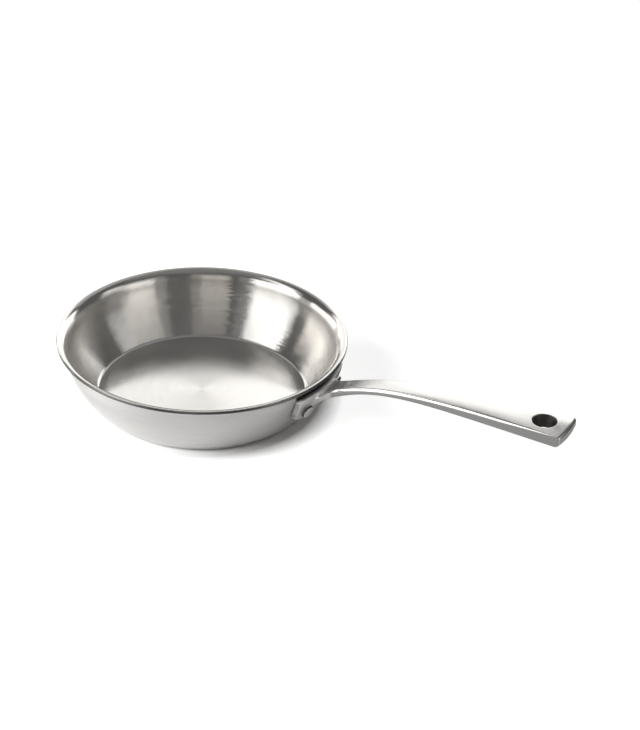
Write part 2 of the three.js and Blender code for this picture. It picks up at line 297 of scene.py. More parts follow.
def ring_brushed(name, tint, rough, stretch, groove, tilt, relief):
    """Metal brushed round the axis: fine scratches spread the light across the rings, and single strokes
    turn it a little along them. The floor is brushed more lightly, and the lip is polished."""
    finish, tree = new_finish(name)
    place = place_on(tree)
    height = parts_of(tree, place)["Z"]
    fine = ring_grain(tree, *FINE_LINES)
    strokes = ring_grain(tree, *STROKES, STROKE_DETAIL)
    clouds = ring_grain(tree, *CLOUDS)
    patches = between(tree, ring_grain(tree, *PATCHES), *PATCH_RANGE, PATCH_FAINT, 1.0)
    on_wall = between(tree, height, *WALL_RISE, FLOOR_GROOVE, 1.0)
    below_lip = between(tree, height, LIP_START, LIP_START + LIP_GROOVE_RUN, 1.0, LIP_GROOVE)
    depth = math_node(tree, "MULTIPLY", on_wall, below_lip)

    # the normal leans across the rings in every scratch, and along them in the patches of strokes
    scratch = add(tree, "ShaderNodeTexWhiteNoise", {"Vector": scaled(tree, place, SCRATCHES)})
    dip = between(tree, scratch.outputs["Value"], 0.0, 1.0, -groove, groove)
    dip = math_node(tree, "ADD", dip, spread(tree, fine, -FINE_SHARE * groove, FINE_SHARE * groove))
    dip = math_node(tree, "MULTIPLY", dip, depth)
    turn = math_node(tree, "MULTIPLY", spread(tree, strokes, -tilt, tilt), depth)
    turn = math_node(tree, "MULTIPLY", turn, patches)
    along = add(tree, "ShaderNodeTangent", direction_type="RADIAL", axis="Z").outputs[0]
    bare = add(tree, "ShaderNodeNewGeometry").outputs["Normal"]
    across = vector_node(tree, "CROSS_PRODUCT", bare, along)
    leaned = vector_node(tree, "ADD", bare, scaled(tree, across, dip))
    leaned = vector_node(tree, "ADD", leaned, scaled(tree, along, turn))
    leaned = vector_node(tree, "NORMALIZE", leaned)
    lines = {"Strength": relief, "Distance": RELIEF_DEPTH, "Height": fine, "Normal": leaned}
    normal = add(tree, "ShaderNodeBump", lines).outputs[0]

    colour = blend(tree, spread(tree, clouds, 0.0, 1.0), paint(tint, CLOUD_SHADE), paint(tint))
    gloss = spread(tree, strokes, *(rough * share for share in STROKE_GLOSS))
    gloss = math_node(tree, "ADD", gloss, spread(tree, clouds, -CLOUD_GLOSS, CLOUD_GLOSS))
    lip_gloss = between(tree, height, LIP_START, LIP_START + LIP_POLISH_RUN, 1.0, LIP_POLISH)
    floor_gloss = between(tree, height, *CORNER_RISE, FLOOR_POLISH, 1.0)
    for eased in (lip_gloss, floor_gloss):
        gloss = math_node(tree, "MULTIPLY", gloss, eased)
    metal_surface(tree, colour, gloss, stretch, along, normal)
    return finish


def dress(piece, finish, node_name):
    """Gives a piece its finish, sets it on the root body, and hides the solid of the part that it stands
    for.
    """
    piece.data.materials.append(finish)
    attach(piece, "root")
    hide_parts(node_name)


cooking_skin = turned("cooking_skin", ply_section(SHEET - COOKING_PLY, COOKING_PLY), PAN_TURNS)
cooking_finish = ring_brushed(
    "ring_brushed_cooking_steel",
    tint=(0.686, 0.675, 0.66),
    rough=0.17,
    stretch=1.0,
    groove=0.27,
    tilt=0.055,
    relief=0.08,
)
dress(cooking_skin, cooking_finish, "cooking_ply")


# Core: the aluminium layer that spreads the heat, bonded between the two steel skins. Only its edge
# shows, as a dull grey line round the rim where the sheet was trimmed and rounded over.
core = turned("core", ply_section(OUTER_PLY + BOND_LINE, CORE_PLY), PAN_TURNS)
core_finish = ring_brushed(
    "dull_core_aluminium",
    tint=(0.11, 0.11, 0.108),
    rough=0.42,
    stretch=0.4,
    groove=0.1,
    tilt=0.03,
    relief=0.2,
)
dress(core, core_finish, "core_ply")


# Outer skin: the base, the outside of the wall and the underside of the lip. Magnetic stainless steel,
# satin brushed round, a little duller than the inside. The crevice between the lip and the top edge of
# the handle's ears is painted black, as painted shade.
EAR_DROP = 0.0092
EAR_MARGIN = 0.0108
RIVET_SPACING = 0.043
CREVICE_PAINTED_SHADE = (0.025, 0.025, 0.025)
CREVICE_EDGE = 0.0015
CREVICE_BELOW_LIP = (0.0024, 0.0008)
HANDLE_SIDE = (0.0, 0.01)
ear_half = RIVET_SPACING / 2 + EAR_MARGIN
ear_top = RIM_HEIGHT - EAR_DROP


def lay_painted_shade(finish, mask, tint):
    """Lays painted shade, one more colour, over a finish where the mask says."""
    tree = finish.node_tree
    shader = next(node for node in tree.nodes if node.type == "BSDF_PRINCIPLED")
    colour = shader.inputs["Base Color"]
    tree.links.new(blend(tree, mask, colour.links[0].from_socket, paint(tint)), colour)


outer_skin = turned("outer_skin", ply_section(0.0, OUTER_PLY), PAN_TURNS)
outer_finish = ring_brushed(
    "ring_satin_outer_steel",
    tint=(0.66, 0.655, 0.645),
    rough=0.36,
    stretch=0.8,
    groove=0.12,
    tilt=0.03,
    relief=0.12,
)
outer_tree = outer_finish.node_tree
outer_place = parts_of(outer_tree, place_on(outer_tree))
off_middle = math_node(outer_tree, "ABSOLUTE", outer_place["Y"])
fade_start, fade_end = (LIP_START - below for below in CREVICE_BELOW_LIP)
crevice = between(outer_tree, off_middle, ear_half - CREVICE_EDGE, ear_half, 1.0, 0.0)
above_ears = between(outer_tree, outer_place["Z"], ear_top - CREVICE_EDGE, ear_top, 0.0, 1.0)
under_lip = between(outer_tree, outer_place["Z"], fade_start, fade_end, 1.0, 0.0)
by_handle = between(outer_tree, outer_place["X"], *HANDLE_SIDE, 0.0, 1.0)
for mask in (above_ears, under_lip, by_handle):
    crevice = math_node(outer_tree, "MULTIPLY", crevice, mask)
# the crevice above the ears and under the lip is painted near black: painted shade
lay_painted_shade(outer_finish, crevice, CREVICE_PAINTED_SHADE)
dress(outer_skin, outer_finish, "outer_ply")


# Handle: one solid stainless casting. A curved plate with two ears lies on the wall under the lip, and
# from it a narrow neck climbs, bends level and widens into a flat blade with an arched end and a hole.
# Ground and satin brushed along its length. The flanks are painted darker as painted shade, the plate
# paler as painted light, and the hole's wall dark as painted shade.
EAR_HEIGHT = 0.019
EAR_THICKNESS = 0.0038
EAR_TOE = 0.008
EAR_SHOULDER = 0.0025
EAR_GAP = 0.0003
EAR_EDGE = 0.0005
EAR_BACK_EDGE = 0.00025
RIVET_DROP = 0.0105
HANDLE_REACH = 0.28358
NECK_CLEAR = 0.003
NECK_DROP = 0.0014
NECK_THICKNESS = 0.0071
NECK_HALF_WIDTH = 0.00775
NECK_ROOT = 0.116
NECK_SIDE_FILLET = 0.012
NECK_TOP_FILLET = 0.0003
NECK_UNDER_FILLET = 0.0035
BEND_END = 0.19
TAPER_START = 0.14
END_RISE = 0.0215
END_THICKNESS = 0.0083
END_HALF_WIDTH = 0.01498
END_ARCH = 0.0012
END_ARCH_RUN = 0.025
END_CORNER = 0.0015
END_EDGE = 0.0004
END_ROUND = 0.0027
TOE_RADIUS = 0.0045
EDGE_WIDTH = 0.0018
EDGE_DROP = 0.0024
EDGE_FADE_RUN = 0.045
EDGE_FADED = 0.15
EDGE_BEVEL = 1.4
ROUND_EDGE = 1.0
LOWER_EDGE = 0.0007
CROWN = 0.0005
CROWN_RUN = (0.132, 0.175)
HOLE_RADIUS = 0.0085
HOLE_INSET = 0.0184
HOLE_EDGE = 0.0005
HOLE_DRAFT = 0.0033
HOLE_FIELD = 0.0106
# the blade in side view: its angle at the neck, then its lead and its level stretch as shares of the run
TOP_CLIMB = (math.radians(22.5), 0.22, 0.683)
UNDER_CLIMB = (math.radians(27.8), 0.278, 0.667)
LEAD_IN = 0.02

# how finely each stretch is divided
WALL_SAMPLES = 200
CLIMB_POINTS = 400
BACK_SHARES = (0.12, 0.4, 0.7, 0.92)
BACK_EDGE_STEPS = ((0.0, 1.0), (0.3, 0.3), (1.0, 0.0))
FRONT_SHARES = (0.04, 0.15, 0.3, 0.45, 0.6, 0.75, 0.9)
UNDER_SHARES = [*np.linspace(0, 0.8, 9), 0.88, 0.95, 1.0]
SIDE_SHARES = [0.08, 0.3, 0.7, 0.92]
TOP_SHARES = [0.04, 0.1, *np.linspace(0.2, 1.0, 9)]
LOWER_EDGE_POINTS = 5
UPPER_EDGE_POINTS = 11
EAR_EDGE_POINTS = 5
FILLET_POINTS = 19
TOE_POINTS = 13
END_EDGE_POINTS = 4
HOLE_EDGE_POINTS = 6
NECK_STATIONS = 30
BLADE_STATIONS = 16
HOLE_STATIONS = 15
HOLE_SPAN = 8
HOLE_SHARES = (0.75, 0.5, 0.25, 0.08, 0.0)
SETTLE_TRIES = 12

ear_bottom = ear_top - EAR_HEIGHT
rivet_height = ear_top - RIVET_DROP
wall_samples = [wall_at(share) for share in np.linspace(0, 1, WALL_SAMPLES)]


def wall_moved_out(distance):
    """The wall's profile moved out by a distance, as a table of radius and height."""
    return np.array([point - way * distance for point, way in wall_samples])


plate_back = wall_moved_out(EAR_GAP)
plate_front = wall_moved_out(EAR_GAP + EAR_THICKNESS)


def plate_x(face, y, z):
    """How far out a face that follows the wall lies, at a place across and a height."""
    radius = np.interp(z, face[:, 1], face[:, 0])
    return np.sqrt(radius**2 - y**2)


neck_x = plate_x(wall_moved_out(0.0), 0.0, rivet_height) + EAR_GAP + EAR_THICKNESS + NECK_CLEAR
end_x = HANDLE_REACH - END_ARCH
end_top = ear_top + END_RISE


def climb(start, end, shape):
    """The blade's edge in side view, as a table of x and height."""
    angle, lead, level = shape
    run = end_x - neck_x
    a = np.array([neck_x, start])
    d = np.array([end_x, end])
    b = a + heading(angle) * lead * run
    c = d - np.array([level * run, 0])
    t = np.linspace(0, 1, CLIMB_POINTS)[:, None]
    curve = (1 - t) ** 3 * a + 3 * t * (1 - t) ** 2 * b + 3 * t**2 * (1 - t) * c + t**3 * d
    before = a - LEAD_IN * np.array([1.0, math.tan(angle)])
    return np.vstack([before, curve])


top_line = climb(ear_top - NECK_DROP, end_top, TOP_CLIMB)
under_line = climb(ear_top - NECK_DROP - NECK_THICKNESS, end_top - END_THICKNESS, UNDER_CLIMB)


def height_on(line, x):
    return np.interp(x, line[:, 0], line[:, 1])


def rounded_loss(radius, past):
    """How far a round has drawn in, at a distance past its start."""
    inside = min(max(past, 0.0), radius)
    return radius - math.sqrt(radius**2 - inside**2)


def half_width(x):
    """Half the blade's width at a station, with the corners of its end drawn in."""
    taper_x = neck_x + TAPER_START * (end_x - neck_x)
    taper = max(0.0, (x - taper_x) / (end_x - taper_x))
    straight = NECK_HALF_WIDTH + taper * (END_HALF_WIDTH - NECK_HALF_WIDTH)
    return straight - rounded_loss(END_CORNER, x - (end_x - END_CORNER))


def edge_fade(x):
    """The bevelled edge grows smaller toward the end."""
    return max(EDGE_FADED, min(1.0, (end_x - x) / EDGE_FADE_RUN))


def quarter_turn(points):
    return np.linspace(0, math.pi / 2, points)


def half_outline(half, low, high, low_round, high_width, high_drop, crown, bevel):
    """Half an outline in y and z, from the middle of its underside to the middle of its top, with the way
    out. A bevel of 1 leaves the upper edge round, and a higher one flattens it to a slope."""
    marks = [((half - low_round) * s, low, 0.0, -1.0) for s in UNDER_SHARES]
    for a in quarter_turn(LOWER_EDGE_POINTS)[1:]:
        y, z = math.sin(a), -math.cos(a)
        marks.append((half - low_round + low_round * y, low + low_round + low_round * z, y, z))
    side_low, side_high = low + low_round, high - high_drop
    marks += [(half, side_low + (side_high - side_low) * s, 1.0, 0.0) for s in SIDE_SHARES]
    for a in quarter_turn(UPPER_EDGE_POINTS):
        y, z = math.cos(a), math.sin(a)
        over, up = y**bevel, z**bevel
        marks.append((half - high_width + high_width * over, high - high_drop + high_drop * up, y, z))
    for s in TOP_SHARES:
        marks.append(((half - high_width) * (1 - s), high + crown * (1 - (1 - s) ** 2), 0.0, 1.0))
    return np.array(marks)


def whole_outline(half_marks):
    """Both halves of an outline as one closed ring."""
    mirrored = half_marks[-2:0:-1] * np.array([-1.0, 1.0, -1.0, 1.0])
    return np.vstack([half_marks, mirrored])


def blade_outline(x):
    """The blade cut across at a station, with the edges of its end drawn in."""
    high = height_on(top_line, x) - rounded_loss(END_ROUND, x - (end_x - END_ROUND))
    low = height_on(under_line, x) + rounded_loss(TOE_RADIUS, x - (end_x - TOE_RADIUS))
    fade = edge_fade(x)
    drop = min(EDGE_DROP * fade, (high - low) / 2)
    low_round = min(LOWER_EDGE, (high - low) / 4)
    crown = np.interp(x, CROWN_RUN, (0.0, CROWN))
    return whole_outline(
        half_outline(half_width(x), low, high, low_round, EDGE_WIDTH * fade, drop, crown, EDGE_BEVEL)
    )


def arched(x, y):
    """Where a point of a station lies, carried out by the arch of the end."""
    share = max(0.0, (x - (end_x - END_ARCH_RUN)) / END_ARCH_RUN)
    return x + END_ARCH * share * (1 - (y / half_width(x)) ** 2)


def plate_ring(face, flat, out=0.0):
    """A ring of points on a face of the plate, or a little out from it."""
    return [(plate_x(face, y, z) + out, y, z) for y, z in flat]


# the plate's back, from its middle to its rounded edge, and then the rounded edge of its front
handle_rings = []
plate_outline = whole_outline(
    half_outline(ear_half, ear_bottom, ear_top, EAR_TOE, EAR_SHOULDER, EAR_SHOULDER, 0.0, ROUND_EDGE)
)
plate_flat, out_way = plate_outline[:, :2], plate_outline[:, 2:]
plate_middle = np.array([0.0, (ear_top + ear_bottom) / 2])
for share in BACK_SHARES:
    handle_rings.append(plate_ring(plate_back, plate_middle + (plate_flat - plate_middle) * share))
for raised, inset in BACK_EDGE_STEPS:
    flat = plate_flat - out_way * EAR_BACK_EDGE * inset
    handle_rings.append(plate_ring(plate_back, flat, EAR_BACK_EDGE * raised))
for turn in quarter_turn(EAR_EDGE_POINTS):
    flat = plate_flat - out_way * EAR_EDGE * (1 - math.cos(turn))
    handle_rings.append(plate_ring(plate_front, flat, -EAR_EDGE * (1 - math.sin(turn))))

# the fillet that carries the neck off the plate on every side
root = blade_outline(NECK_ROOT)
root_gap = NECK_ROOT - plate_x(plate_front, root[:, 0], root[:, 1])
fillet_rings = []
for turn in quarter_turn(FILLET_POINTS):
    ring = []
    for i, off in enumerate(root_gap * (1 - math.sin(turn))):
        rise_fillet = NECK_TOP_FILLET if out_way[i, 1] > 0 else NECK_UNDER_FILLET
        widen = out_way[i, 0] * rounded_loss(NECK_SIDE_FILLET, NECK_SIDE_FILLET - off)
        rise = out_way[i, 1] * rounded_loss(rise_fillet, rise_fillet - off)
        x = NECK_ROOT
        for _ in range(SETTLE_TRIES):
            mark = blade_outline(x)[i]
            y, z = mark[0] + widen, mark[1] + rise
            x = plate_x(plate_front, y, z) + off
        ring.append((x, y, z))
    fillet_rings.append(ring)
fillet_rings.reverse()

# the plate's front, from its edge to the foot of the fillet
fillet_foot = np.array([(y, z) for _, y, z in fillet_rings[0]])
front_edge = plate_flat - out_way * EAR_EDGE
for share in FRONT_SHARES:
    handle_rings.append(plate_ring(plate_front, front_edge + (fillet_foot - front_edge) * share))
handle_rings += fillet_rings

# the blade, from the neck to its arched end
hole_x = HANDLE_REACH - HOLE_INSET
hole_stations = np.linspace(hole_x - HOLE_FIELD, hole_x + HOLE_FIELD - END_ARCH, HOLE_STATIONS)
neck_stations = np.linspace(NECK_ROOT, BEND_END, NECK_STATIONS)[1:]
blade_stations = np.linspace(BEND_END, hole_stations[0], BLADE_STATIONS)[1:-1]
toe_stations = end_x - TOE_RADIUS + (TOE_RADIUS - END_EDGE) * np.sin(quarter_turn(TOE_POINTS))
hole_first = len(handle_rings) + len(neck_stations) + len(blade_stations)
hole_last = hole_first + len(hole_stations) - 1
for x in (*neck_stations, *blade_stations, *hole_stations, *toe_stations):
    handle_rings.append([(arched(x, y), y, z) for y, z, _, _ in blade_outline(x)])
last_x = toe_stations[-1]
last_outline = blade_outline(last_x)
for turn in quarter_turn(END_EDGE_POINTS)[1:]:
    flat = last_outline[:, :2] - last_outline[:, 2:] * END_EDGE * (1 - math.cos(turn))
    handle_rings.append([(arched(last_x, y) + END_EDGE * math.sin(turn), y, z) for y, z in flat])

ring_size = len(plate_outline)
top_middle = ring_size // 2
handle_verts = [Vector(point) for ring in handle_rings for point in ring]
handle_faces = []


def vert(ring, index):
    return ring * ring_size + index % ring_size


def in_hole_field(ring, index):
    """Whether the skin is left open there for the hole, on the blade's top or its underside."""
    if not hole_first <= ring < hole_last:
        return False
    return any((index + HOLE_SPAN - middle) % ring_size < 2 * HOLE_SPAN for middle in (0, top_middle))


for ring in range(len(handle_rings) - 1):
    for i in range(ring_size):
        if not in_hole_field(ring, i):
            corners = (vert(ring, i), vert(ring, i + 1), vert(ring + 1, i + 1), vert(ring + 1, i))
            handle_faces.append(corners)

# the closed ends: a fan on the plate's back, and strips across the arched end face
back_middle = len(handle_verts)
handle_verts.append(Vector((plate_x(plate_back, *plate_middle), *plate_middle)))
for i in range(ring_size):
    handle_faces.append((back_middle, vert(0, i + 1), vert(0, i)))
end_ring = len(handle_rings) - 1
under_count = len(UNDER_SHARES) - 1
for i in range(under_count):
    for way in (1, -1):
        low_a, low_b = way * i, way * (i + 1)
        corners = (low_a, low_b, top_middle - low_b, top_middle - low_a)
        handle_faces.append(tuple(vert(end_ring, corner) for corner in corners))
for way in (1, -1):
    rounded_side = range(under_count, top_middle - under_count + 1)
    handle_faces.append(tuple(vert(end_ring, way * i) for i in rounded_side))


def surface_height(x, y, top):
    """Height of the blade's top or underside over a point near its end."""
    station = x
    for _ in range(SETTLE_TRIES):
        station -= arched(station, y) - x
    if not top:
        return height_on(under_line, station)
    flat_half = half_width(station) - EDGE_WIDTH * edge_fade(station)
    return height_on(top_line, station) + CROWN * (1 - (y / flat_half) ** 2)


def hole_border(middle):
    """The points round the opening that the skin leaves for the hole, in order."""
    border = [vert(ring, middle + HOLE_SPAN) for ring in range(hole_first, hole_last)]
    border += [vert(hole_last, middle + i) for i in range(HOLE_SPAN, -HOLE_SPAN, -1)]
    border += [vert(ring, middle - HOLE_SPAN) for ring in range(hole_last, hole_first, -1)]
    border += [vert(hole_first, middle + i) for i in range(-HOLE_SPAN, HOLE_SPAN)]
    return border


def strip(a, b):
    """Faces between two closed rings with as many points."""
    for i in range(len(a)):
        k = (i + 1) % len(a)
        handle_faces.append((a[i], a[k], b[k], b[i]))


def hole_ring(turns, radii, top, sunk):
    """A ring of points round the hole, sunk from the blade's top or raised from its underside."""
    first = len(handle_verts)
    for turn, radius in zip(turns, radii):
        x, y = hole_x + radius * math.cos(turn), radius * math.sin(turn)
        handle_verts.append(Vector((x, y, surface_height(x, y, top) - (sunk if top else -sunk))))
    return list(range(first, len(handle_verts)))


def nearest_turn(turns, wanted):
    return min(range(len(turns)), key=lambda k: abs(math.remainder(turns[k] - wanted, 2 * math.pi)))


# the hole: on each side rings that grow round, an eased edge, and then the drafted wall between both
hole_mouths = []
for top in (True, False):
    ring = hole_border(top_middle if top else 0)
    turns = [math.atan2(handle_verts[v].y, handle_verts[v].x - hole_x) for v in ring]
    reaches = [math.hypot(handle_verts[v].x - hole_x, handle_verts[v].y) for v in ring]
    mouth = (HOLE_RADIUS if top else HOLE_RADIUS - HOLE_DRAFT) + HOLE_EDGE
    steps = [([mouth + (reach - mouth) * share for reach in reaches], 0.0) for share in HOLE_SHARES]
    for bend in quarter_turn(HOLE_EDGE_POINTS)[1:]:
        radius = mouth - HOLE_EDGE * math.sin(bend)
        steps.append(([radius] * len(ring), HOLE_EDGE * (1 - math.cos(bend))))
    for radii, sunk in steps:
        inner_ring = hole_ring(turns, radii, top, sunk)
        strip(ring, inner_ring)
        ring = inner_ring
    hole_mouths.append((turns, ring))
(upper_turns, upper_mouth), (lower_turns, lower_mouth) = hole_mouths
strip(upper_mouth, [lower_mouth[nearest_turn(lower_turns, turn)] for turn in upper_turns])
handle = piece_from("handle_casting", handle_verts, handle_faces)

# the finish: strokes and cast unevenness by their number in a metre
DRAWN_STROKES = (160.0, 5200.0, 5200.0)
CAST_SCALE = 110.0
CAST_ROUGHNESS = 0.5
CAST_SHADE = 0.96
CAST_GLOSS = 0.02
LONG_STROKE_GLOSS = (0.9, 1.08)
HOLE_PAINTED_SHADE = (0.11, 0.107, 0.101)
HOLE_BLEND = 0.0002
HOLE_DULL = 0.5
FLANK_FACING = (0.87, 0.95)
FLANK_PAINTED_SHADE = 0.54
PLATE_END = (0.106, 0.118)
PLATE_DULL = 0.2


def long_brushed(name, tint, plate_painted_light_tint, rough, stretch, relief):
    """Satin steel ground along X: fine strokes that run with the blade, over a faint cast unevenness.
    The plate is painted paler as painted light and is duller, the flanks are painted darker as painted
    shade, and the hole's wall is painted dark as painted shade and left rough."""
    finish, tree = new_finish(name)
    place = place_on(tree)
    strokes = mottle(tree, vector_node(tree, "MULTIPLY", place, DRAWN_STROKES))
    cast = mottle(tree, place, CAST_SCALE, roughness=CAST_ROUGHNESS)

    flat = vector_node(tree, "MULTIPLY", place, LEVEL)
    from_hole = length_of(tree, vector_node(tree, "SUBTRACT", flat, (hole_x, 0.0, 0.0)))
    in_hole = between(tree, from_hole, HOLE_RADIUS, HOLE_RADIUS + HOLE_BLEND, 1.0, 0.0)
    on_plate = between(tree, parts_of(tree, place)["X"], *PLATE_END, 1.0, 0.0)
    facing = parts_of(tree, add(tree, "ShaderNodeNewGeometry").outputs["Normal"])["Y"]
    on_flank = between(tree, math_node(tree, "ABSOLUTE", facing), *FLANK_FACING, 0.0, 1.0)

    colour = blend(tree, spread(tree, cast, 0.0, 1.0), paint(tint, CAST_SHADE), paint(tint))
    # the plate, and the rivets on it, painted paler: painted light
    colour = blend(tree, on_plate, colour, paint(plate_painted_light_tint))
    # flanks that face sideways painted darker: painted shade
    colour = blend(tree, on_flank, colour, paint(tint, FLANK_PAINTED_SHADE))
    # the hole's wall painted dark: painted shade
    colour = blend(tree, in_hole, colour, paint(HOLE_PAINTED_SHADE))
    gloss = spread(tree, strokes, *(rough * share for share in LONG_STROKE_GLOSS))
    gloss = math_node(tree, "ADD", gloss, spread(tree, cast, -CAST_GLOSS, CAST_GLOSS))
    for mask, dull in ((in_hole, HOLE_DULL), (on_plate, PLATE_DULL)):
        gloss = math_node(tree, "ADD", gloss, math_node(tree, "MULTIPLY", mask, dull))
    lines = {"Strength": relief, "Distance": RELIEF_DEPTH, "Height": strokes}
    normal = add(tree, "ShaderNodeBump", lines).outputs[0]
    along = add(tree, "ShaderNodeCombineXYZ", {"X": 1.0}).outputs[0]
    metal_surface(tree, colour, gloss, stretch, along, normal)
    return finish


handle_finish = long_brushed(
    "satin_handle_steel",
    tint=(0.68, 0.675, 0.665),
    plate_painted_light_tint=(0.86, 0.855, 0.845),
    rough=0.16,
    stretch=0.6,
    relief=0.08,
)
dress(handle, handle_finish, "handle")


# Rivets: two solid stainless rivets through the ears and the whole sheet. Outside they have a flat head
# with an eased edge and a dark line of painted shade round it, inside the pan a low round head, both
# drawn up against the metal. Their steel is painted paler than the handle's, as painted light.
SHANK_RADIUS = 0.003
SEAT_GAP = 0.0003
OUTER_HEAD = 0.005
OUTER_HEAD_HEIGHT = 0.0022
OUTER_HEAD_EASE = 0.0006
OUTER_HEAD_CROWN = 0.0002
OUTER_HEAD_CHAMFER = 0.0001
OUTER_HEAD_SIDE = 0.0002
INNER_HEAD = 0.006
INNER_HEAD_EDGE = 0.0006
INNER_HEAD_CROWN = 0.0011
INNER_HEAD_ROUND = 0.00036
INNER_HEAD_CHAMFER = 0.00006
RIVET_TURNS = 64
INNER_CROWN_POINTS = 10
INNER_ROUND_SHARES = np.linspace(0.3, 1, 4)
OUTER_EASE_POINTS = 7
OUTER_CROWN_SHARES = (0.95, 0.7, 0.4, 0.0)
RIVET_TINT_WITH_PAINTED_LIGHT = (0.97, 0.965, 0.955)
RIM_PAINTED_SHADE = (0.08, 0.078, 0.074)
RIM_PAINTED_SHADE_WIDTH = 0.0003
RIM_PAINTED_SHADE_START = 0.001
wall_heights = [point[1] for point, _ in wall_samples]
rivet_share = np.interp(rivet_height, wall_heights, np.linspace(0, 1, WALL_SAMPLES))
rivet_point, rivet_inward = wall_at(rivet_share)
rivet_turn = math.asin(RIVET_SPACING / 2 / rivet_point[0])
rivet_foot = Vector((rivet_point[0], 0.0, rivet_point[1]))
rivet_outward = Vector((-rivet_inward[0], 0.0, -rivet_inward[1]))


def rivet_section():
    """Half section along the rivet, from the crown of its inner head to the flat of its outer one."""
    wall_length = sum(np.linalg.norm(b[0] - a[0]) for a, b in zip(wall_samples, wall_samples[1:]))
    curl = max(1 / (rivet_point[0] - SHEET), (WALL_HEAD - WALL_FOOT) / wall_length)
    inner_seat = -SHEET - SEAT_GAP - INNER_HEAD**2 * curl / 2
    inner_top = inner_seat - INNER_HEAD_EDGE - INNER_HEAD_CROWN
    inner_flat = INNER_HEAD - INNER_HEAD_ROUND
    outer_seat = EAR_GAP + EAR_THICKNESS + SEAT_GAP
    outer_top = outer_seat + OUTER_HEAD_HEIGHT
    outer_flat = OUTER_HEAD - OUTER_HEAD_EASE
    shoulder = outer_top - OUTER_HEAD_EASE - OUTER_HEAD_CROWN
    crown_shares = np.linspace(0, inner_flat / INNER_HEAD, INNER_CROWN_POINTS)
    section = [(INNER_HEAD * s, inner_top + INNER_HEAD_CROWN * s**2) for s in crown_shares]
    for a in INNER_ROUND_SHARES * math.pi / 2:
        radius = inner_flat + INNER_HEAD_ROUND * math.sin(a)
        section.append((radius, inner_seat - INNER_HEAD_ROUND * math.cos(a)))
    section += [
        (INNER_HEAD - INNER_HEAD_CHAMFER, inner_seat),
        (SHANK_RADIUS, inner_seat),
        (SHANK_RADIUS, outer_seat),
        (OUTER_HEAD - OUTER_HEAD_CHAMFER, outer_seat),
        (OUTER_HEAD, outer_seat + OUTER_HEAD_CHAMFER),
        (OUTER_HEAD, shoulder - OUTER_HEAD_SIDE),
    ]
    for a in quarter_turn(OUTER_EASE_POINTS):
        radius = outer_flat + OUTER_HEAD_EASE * math.cos(a)
        section.append((radius, shoulder + OUTER_HEAD_EASE * math.sin(a)))
    section += [(outer_flat * s, outer_top - OUTER_HEAD_CROWN * s**2) for s in OUTER_CROWN_SHARES]
    return section


# the rivets' steel is painted far paler than the handle's: painted light
rivet_finish = long_brushed(
    "smooth_rivet_steel",
    tint=RIVET_TINT_WITH_PAINTED_LIGHT,
    plate_painted_light_tint=RIVET_TINT_WITH_PAINTED_LIGHT,
    rough=0.16,
    stretch=0.2,
    relief=0.05,
)

# the painted shade: a dark line round both outer heads, found by the distance from the rivet's axis
rivet_tree = rivet_finish.node_tree
rivet_place = parts_of(rivet_tree, place_on(rivet_tree))
both_sides = math_node(rivet_tree, "ABSOLUTE", rivet_place["Y"])
folded = {"X": rivet_place["X"], "Y": both_sides, "Z": rivet_place["Z"]}
rivet_swing = Matrix.Rotation(rivet_turn, 3, "Z")
rivet_axis = rivet_swing @ rivet_outward
folded_place = add(rivet_tree, "ShaderNodeCombineXYZ", folded).outputs[0]
from_wall = vector_node(rivet_tree, "SUBTRACT", folded_place, rivet_swing @ rivet_foot)
off_axis = length_of(rivet_tree, vector_node(rivet_tree, "CROSS_PRODUCT", from_wall, rivet_axis))
along_axis = {0: from_wall, 1: rivet_axis}
outward_by = add(rivet_tree, "ShaderNodeVectorMath", along_axis, operation="DOT_PRODUCT").outputs["Value"]
at_rim = between(rivet_tree, off_axis, OUTER_HEAD - RIM_PAINTED_SHADE_WIDTH, OUTER_HEAD, 0.0, 1.0)
outside = between(rivet_tree, outward_by, 0.0, RIM_PAINTED_SHADE_START, 0.0, 1.0)
# the side of each outer head is painted dark: painted shade
lay_painted_shade(rivet_finish, math_node(rivet_tree, "MULTIPLY", at_rim, outside), RIM_PAINTED_SHADE)

sideways = Vector((0.0, 1.0, 0.0))
rivet_seat = Matrix((sideways, rivet_outward.cross(sideways), rivet_outward)).transposed().to_4x4()
rivet_seat.translation = rivet_foot
for name, side in (("front_rivet", -1), ("rear_rivet", 1)):
    rivet = turned(name + "_head", rivet_section(), RIVET_TURNS)
    rivet.data.transform(Matrix.Rotation(side * rivet_turn, 4, "Z") @ rivet_seat)
    dress(rivet, rivet_finish, name)


# Floor: the plain pale sheet that the pan stands on, matt and without a seam. Away from the pan the
# camera sees it glow to clear white with painted light, so only the shadow next to the steel is left.
FLOOR_REACH = 12.0
FLOOR_TINT = (0.9, 0.9, 0.9)
FLOOR_ROUGH = 0.7
FLOOR_PAINTED_GLOW = 0.84
FLOOR_PAINTED_GLOW_RUN = (0.086, 0.104)
PLAIN = (1.0, 1.0, 1.0)
floor_corners = [(x * FLOOR_REACH, y * FLOOR_REACH, 0.0) for x, y in ((-1, -1), (1, -1), (1, 1), (-1, 1))]
floor_mesh = bpy.data.meshes.new("floor")
floor_mesh.from_pydata(floor_corners, [], [(0, 1, 2, 3)])
floor = bpy.data.objects.new("floor", floor_mesh)
bpy.context.scene.collection.objects.link(floor)
floor_finish, floor_tree = new_finish("pale_floor")
floor_seen = add(floor_tree, "ShaderNodeLightPath").outputs["Is Camera Ray"]
floor_away = length_of(floor_tree, place_on(floor_tree))
